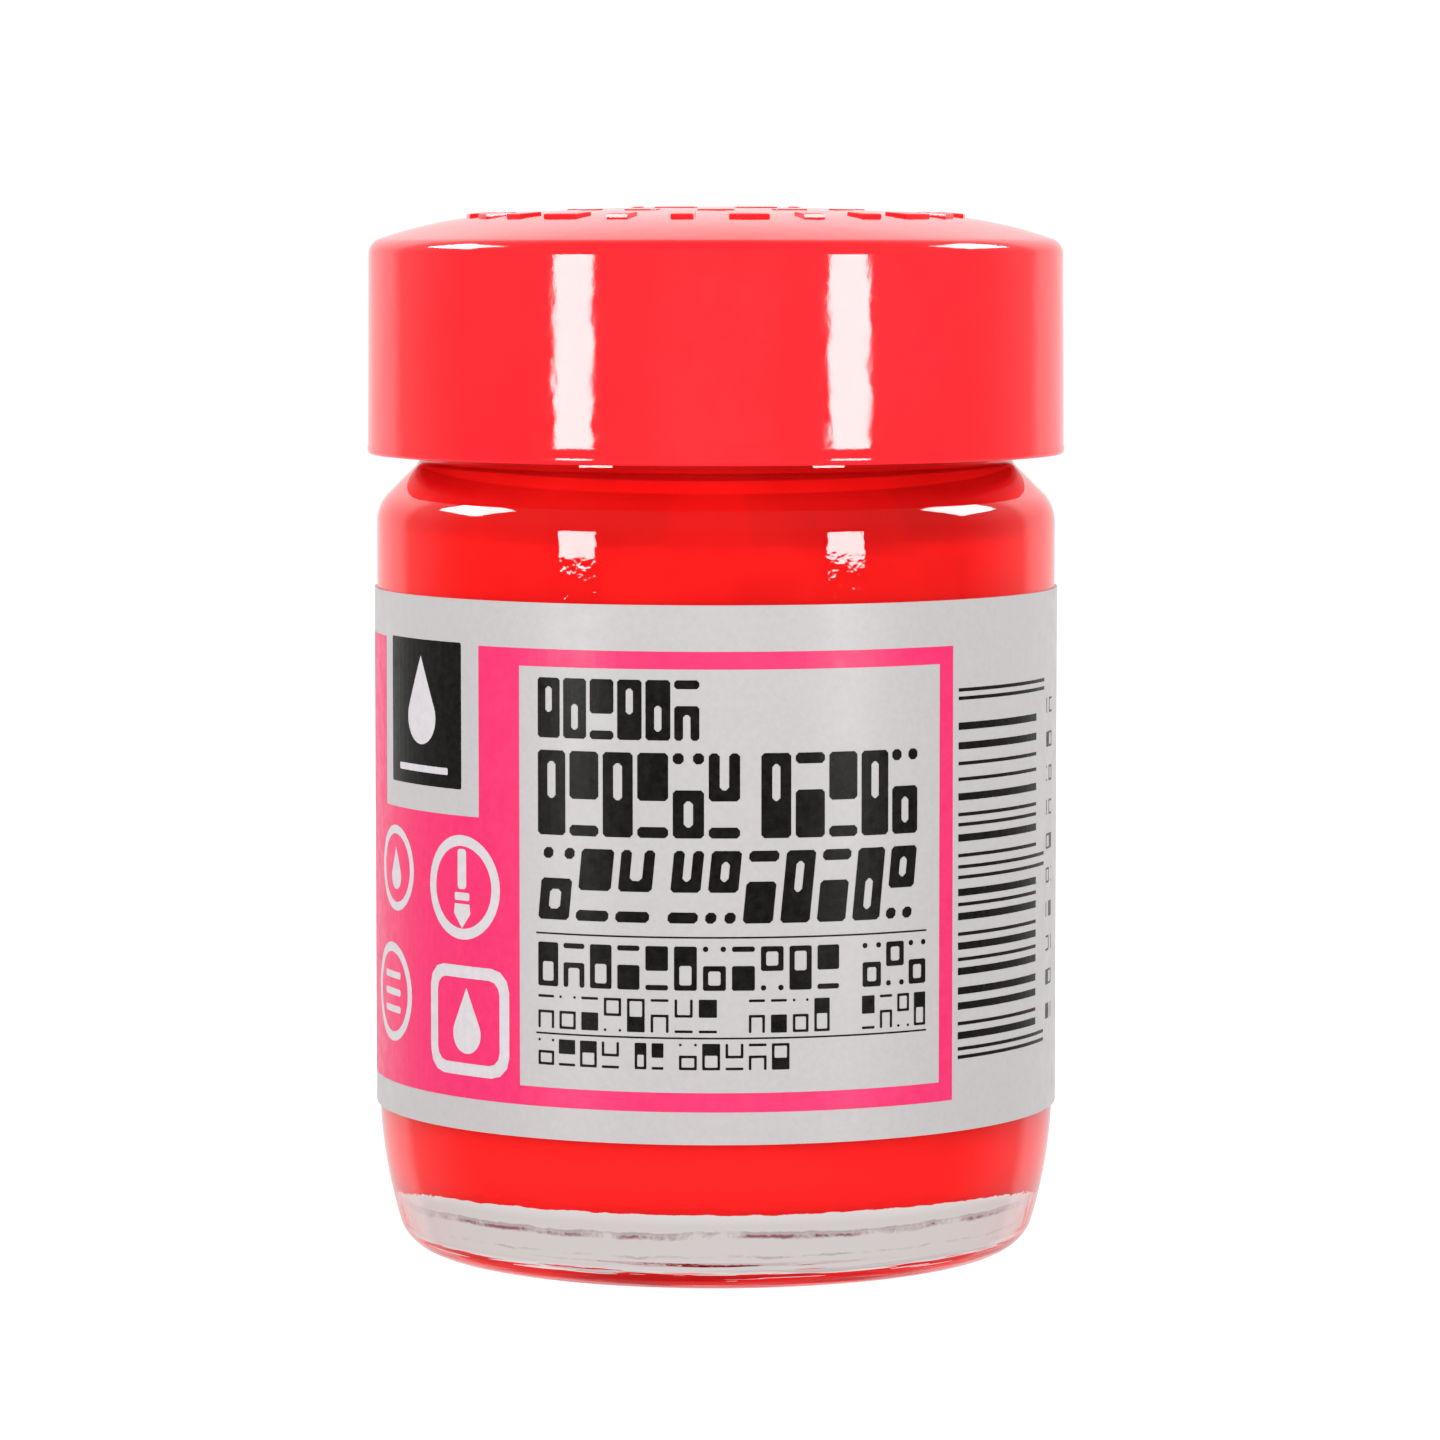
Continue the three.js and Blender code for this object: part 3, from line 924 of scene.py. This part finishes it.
def glass_material():
    """Clear glass, greyer in its thick heel, with a painted reflection of the paint in level red and
    pink streaks at its foot. Lamps shine straight through it, so that the paint behind it is lit."""
    clear = (0.9, 0.92, 0.91)
    thick = (0.74, 0.725, 0.71)
    reflection_streaks_end = (0.9 * MM, 1.6 * MM)  # heights between which the painted reflection streaks fade out
    heel_ends = (4 * MM, 4.5 * MM)  # and those between which the grey does
    ridges_end = (0.6 * MM, 1.8 * MM)
    glass = Material("clear_glass", clear, 0.01, IOR=1.52, Transmission_Weight=1)
    z = glass.along_axis("Z")
    streaks = glass.noise(8, 2, 0.5, (1, 1, 22))
    # Painted reflection: level streaks of dark red and pale pink at the foot stand in for the image
    # of the paint seen in the glass.
    painted_paint_reflection = glass.mixed(
        glass.spread(streaks, 0, 1, 0.44, 0.56), (0.4, 0.24, 0.28), (0.93, 0.86, 0.87)
    )
    heel = glass.mixed(glass.spread(z, 0, 1, *reflection_streaks_end), painted_paint_reflection, thick)
    heel = dark_heel_line(glass, z, heel, HEEL_LINE_Z, 0.2, (0.16, 0.02, 0.03), (0.4, 0.56))
    heel = dark_heel_line(glass, z, heel, HEEL_LINE_Z + 0.2, 0.12, (0.35, 0.3, 0.3), (0.36, 0.5))
    heel = dark_heel_line(glass, z, heel, HEEL_LINE_Z - 1.2, 0.1, (0.42, 0.38, 0.38), (0.44, 0.58))
    glass.colour_between(glass.spread(z, 0, 1, *heel_ends), heel, clear)
    ridges = glass.maths("MULTIPLY", streaks, glass.spread(z, 1, 0, *ridges_end))
    glass.bumps(
        (glass.noise(7, 1), 0.06, 0.3), (glass.noise(1.3, 3, 0.6), 0.03, 0.3), (ridges, 0.2, 0.6)
    )
    output = glass.tree.nodes["Material Output"]
    unlit = glass.node("BsdfTransparent")
    unlit.inputs["Color"].default_value = (0.96, 0.98, 0.97, 1)
    mix = glass.node("MixShader")
    rays = glass.node("LightPath")
    glass.link(rays.outputs["Is Shadow Ray"], mix.inputs["Fac"])
    glass.link(glass.shader.outputs["BSDF"], mix.inputs[1])
    glass.link(unlit.outputs["BSDF"], mix.inputs[2])
    glass.link(mix.outputs["Shader"], output.inputs["Surface"])
    return glass.material


def paint_against_glass():
    """Paint that wets the glass. No gloss of its own shows, because there is no air between them."""
    paint = Material("paint_on_glass", (0.8, 0.006, 0.005), 0.8, Specular_IOR_Level=0)
    painted_shade_upper = paint.mixed(
        paint.spread(paint.noise(6, 3), 0, 1), (0.72, 0.005, 0.005), (0.82, 0.009, 0.008)
    )
    # Painted light and shade: the paint is coloured brighter below 7 mm and darker above 14 mm,
    # standing in for how the light falls on it.
    share = paint.spread(paint.along_axis("Z"), 0, 1, 7 * MM, 14 * MM)
    paint.colour_between(share, (1, 0.016, 0.016), painted_shade_upper)
    return paint.material


def open_paint():
    """The wet surface of the paint, with the low ridges that a brush leaves."""
    paint = Material("open_paint", (0.93, 0.014, 0.012), 0.2, IOR=1.45)
    paint.colour_between(
        paint.spread(paint.noise(5, 4, 0.6), 0, 1), (0.86, 0.01, 0.009), (0.98, 0.02, 0.016)
    )
    paint.link(paint.spread(paint.noise(3), 0.12, 0.3), paint.shader.inputs["Roughness"])
    paint.bumps((paint.noise(2.4, 3, stretch=(1, 2.5, 1)), 0.08, 0.35))
    return paint.material


def cap_material():
    """Glossy moulded plastic, hardly uneven, with a faint grain and slow waves in its gloss."""
    cap = Material("red_gloss_plastic", (0.88, 0.016, 0.022), 0.05, IOR=1.54)
    cap.colour_between(
        cap.spread(cap.noise(11, 3), 0, 1), (0.84, 0.013, 0.018), (0.9, 0.017, 0.024)
    )
    cap.link(cap.spread(cap.noise(0.7, 4), 0.03, 0.08), cap.shader.inputs["Roughness"])
    cap.bumps(
        (cap.noise(3, 2, 0.5, (1, 1, 0.7)), 0.07, 0.5), (cap.noise(0.7, 4, 0.6), 0.016, 0.4)
    )
    return cap.material


def paper_material():
    """Coated pale grey paper, with a fine mottle."""
    paper = Material("coated_paper", (0.365, 0.347, 0.347), 0.36, IOR=1.45)
    paper.colour_between(
        paper.spread(paper.noise(0.35, 5, 0.7), 0, 1), (0.35, 0.333, 0.333), (0.38, 0.361, 0.36)
    )
    paper.link(paper.spread(paper.noise(1.2, 4), 0.3, 0.44), paper.shader.inputs["Roughness"])
    paper.bumps((paper.noise(4, 2), 0.03, 0.2), (paper.noise(0.12, 3, 0.7), 0.006, 0.25))
    return paper.material


def paper_inside_painted_glow():
    """The side of the label that lies on the glass, with a painted glow, an emission that stands in
    for the daylight that paper lets through.
    """
    paper = Material(
        "paper_inside_painted_glow", (0.5, 0.46, 0.45), 0.8, Specular_IOR_Level=0,
        Emission_Color=(1, 0.93, 0.92, 1), Emission_Strength=0.4,
    )
    return paper.material


def ink_material(name, dark, light, roughness, ior):
    """Ink on coated paper, uneven between two colours, with the paper's texture showing through."""
    ink = Material(name, dark, roughness, IOR=ior)
    ink.colour_between(ink.spread(ink.noise(0.5, 4, 0.7), 0, 1), dark, light)
    ink.link(
        ink.spread(ink.noise(0.9, 3), roughness - 0.06, roughness + 0.08),
        ink.shader.inputs["Roughness"],
    )
    ink.bumps((ink.noise(4, 2), 0.03, 0.2), (ink.noise(0.12, 3, 0.7), 0.005, 0.2))
    return ink.material


def liner_material():
    """White foamed plastic, faintly stained by paint."""
    liner = Material("foam_liner", (0.85, 0.83, 0.79), 0.65, IOR=1.45)
    liner.colour_between(
        liner.spread(liner.noise(5, 5, 0.65), 0, 1, 0.56, 0.66), (0.86, 0.84, 0.8), (0.8, 0.16, 0.13)
    )
    liner.bumps((liner.noise(0.22, 3, 0.6), 0.02, 0.4))
    return liner.material


# ---------------------------------------------------------------- camera, floor and lights

CAMERA_SIDE = 0.24  # to the right of the jar's axis
CAMERA_DISTANCE = 370.4  # in front of it
CAMERA_HEIGHT = 60.65
CAMERA_PITCH = 4.55  # degrees that it looks down
CAMERA_LENS = 156.8
CAMERA_SENSOR = 36


def add_camera():
    data = bpy.data.cameras.new("camera")
    data.lens = CAMERA_LENS
    data.sensor_width = CAMERA_SENSOR
    data.clip_start = 0.01
    camera = bpy.data.objects.new("camera", data)
    camera.location = Vector((CAMERA_SIDE, -CAMERA_DISTANCE, CAMERA_HEIGHT)) * MM
    camera.rotation_euler = (math.radians(90 - CAMERA_PITCH), 0, 0)
    bpy.context.scene.collection.objects.link(camera)
    bpy.context.scene.camera = camera


def add_floor():
    """A wide pale floor, bright enough to run into the background without a line. It lies just under
    the foot, so that glass and floor don't share a plane."""
    reach = 4000
    level = -0.02
    sides = ((-1, -1), (1, -1), (1, 1), (-1, 1))
    floor = add_object(
        "studio_floor", [(x * reach, y * reach, level) for x, y in sides], [(0, 1, 2, 3)]
    )
    white = Material(
        "studio_white", (0.45, 0.45, 0.45), 0.9, Specular_IOR_Level=0,
        Emission_Color=(1, 1, 1, 1), Emission_Strength=0.87,
    )
    floor.data.materials.append(white.material)
    floor.visible_glossy = False  # keeps the floor's glare off the glass, as a dark card would


def add_world():
    """Dim on the camera's side, lighter round the jar's sides, near white behind it and brighter
    still high up. It is white all round for the camera and for what is seen through the glass."""
    world = bpy.data.worlds.new("studio")
    bpy.context.scene.world = world
    world.use_nodes = True
    tree = world.node_tree
    background = tree.nodes["Background"]
    background.inputs["Color"].default_value = (1, 1, 1, 1)
    place = tree.nodes.new("ShaderNodeTexCoord")
    split = tree.nodes.new("ShaderNodeSeparateXYZ")
    tree.links.new(place.outputs["Generated"], split.inputs["Vector"])
    rays = tree.nodes.new("ShaderNodeLightPath")

    def ramp(axis, from_low, from_high, to_low, to_high):
        """A strength that changes smoothly with the direction's share along an axis."""
        node = tree.nodes.new("ShaderNodeMapRange")
        node.interpolation_type = "SMOOTHSTEP"
        tree.links.new(split.outputs[axis], node.inputs["Value"])
        for socket, value in zip(
            ("From Min", "From Max", "To Min", "To Max"), (from_low, from_high, to_low, to_high)
        ):
            node.inputs[socket].default_value = value
        return node.outputs["Result"]

    def instead(kind_of_ray, usual, strength):
        """The usual strength, but a fixed one for one kind of ray."""
        node = tree.nodes.new("ShaderNodeMix")
        tree.links.new(rays.outputs[kind_of_ray], node.inputs["Factor"])
        tree.links.new(usual, node.inputs["A"])
        node.inputs["B"].default_value = strength
        return node.outputs["Result"]

    def together(operation, first, second):
        node = tree.nodes.new("ShaderNodeMath")
        node.operation = operation
        tree.links.new(first, node.inputs[0])
        tree.links.new(second, node.inputs[1])
        return node.outputs["Value"]

    level = together("ADD", ramp("Y", -0.05, 0.62, 0.12, 0.42), ramp("Y", 0.58, 0.7, 0, 0.48))
    strength = together("MULTIPLY", level, ramp("Z", 0.1, 0.45, 1, 1.5))
    strength = instead("Is Transmission Ray", strength, 0.9)
    strength = instead("Is Camera Ray", strength, 1.1)
    tree.links.new(strength, background.inputs["Strength"])


def softbox(name, side, height, width, length, radiance, reflected=True):
    """A rectangular lamp that faces the jar. In degrees, side counts round from the camera to the
    right and height counts up from level."""
    aim = Vector((0, 0, 35))
    distance = 600
    turn, lift = math.radians(side), math.radians(height)
    direction = Vector((
        math.sin(turn) * math.cos(lift), -math.cos(turn) * math.cos(lift), math.sin(lift),
    ))
    spot = direction * distance + aim
    data = bpy.data.lights.new(name, "AREA")
    data.shape = "RECTANGLE"
    data.size = width * MM
    data.size_y = length * MM
    data.energy = radiance * math.pi * data.size * data.size_y
    lamp = bpy.data.objects.new(name, data)
    lamp.location = spot * MM
    lamp.rotation_euler = direction.to_track_quat("Z", "Y").to_euler()
    lamp.visible_camera = False
    lamp.visible_transmission = False
    lamp.visible_glossy = reflected
    bpy.context.scene.collection.objects.link(lamp)


def add_lights():
    """Two strips whose reflections stand on the cap, two lamps that catch its corner and the glass
    shoulder, and a fill that nothing reflects."""
    softbox("fill", side=0, height=12, width=420, length=420, radiance=5, reflected=False)
    for name, side in (("left", -46.5), ("right", 43.5)):
        softbox(name + "_strip", side, height=3.5, width=140, length=120, radiance=18)
    for name, side in (("left", -107), ("right", 110)):
        softbox(name + "_side", side, height=37, width=240, length=200, radiance=15)


# ---------------------------------------------------------------- the jar, put together


def finish_piece(piece, body, slot, *materials):
    """Gives a piece its materials and its CAD body. slot is not used."""
    for material in materials:
        piece.data.materials.append(material)
    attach(piece, body)


def corners(bounds):
    """The lowest and highest corner as plain lists."""
    return [list(corner) for corner in bounds]


def build():
    add_camera()
    add_floor()
    add_world()
    add_lights()
    wetted = paint_against_glass()
    red_plastic = cap_material()
    finish_piece(make_glass_jar(), "jar", "glass_jar", glass_material())
    finish_piece(make_paint(), "jar", "paint_fill", wetted, open_paint())
    finish_piece(make_paint_film(), "jar", "paint_fill", wetted)
    finish_piece(make_label(), "jar", "wrap_label", paper_material(), paper_inside_painted_glow())
    inks = [
        ink_material("pink_ink", (0.57, 0.013, 0.094), (0.63, 0.018, 0.11), 0.34, 1.42),
        ink_material("black_ink", (0.003, 0.0025, 0.002), (0.01, 0.009, 0.008), 0.27, 1.22),
        ink_material("pale_ink", (0.42, 0.39, 0.41), (0.48, 0.45, 0.465), 0.4, 1.42),
    ]
    for piece, ink in zip(make_label_print(), inks):
        finish_piece(piece, "jar", "wrap_label", ink)
    finish_piece(make_liner(), "liner", "cap_liner", liner_material())
    finish_piece(make_cap(), "cap", "screw_cap", red_plastic)
    finish_piece(make_cap_marks(), "cap", "screw_cap", red_plastic)
    bpy.context.scene.view_settings.view_transform = "Standard"
    bpy.context.scene.cycles.glossy_bounces = 12  # light is thrown about inside the thick glass heel


build()
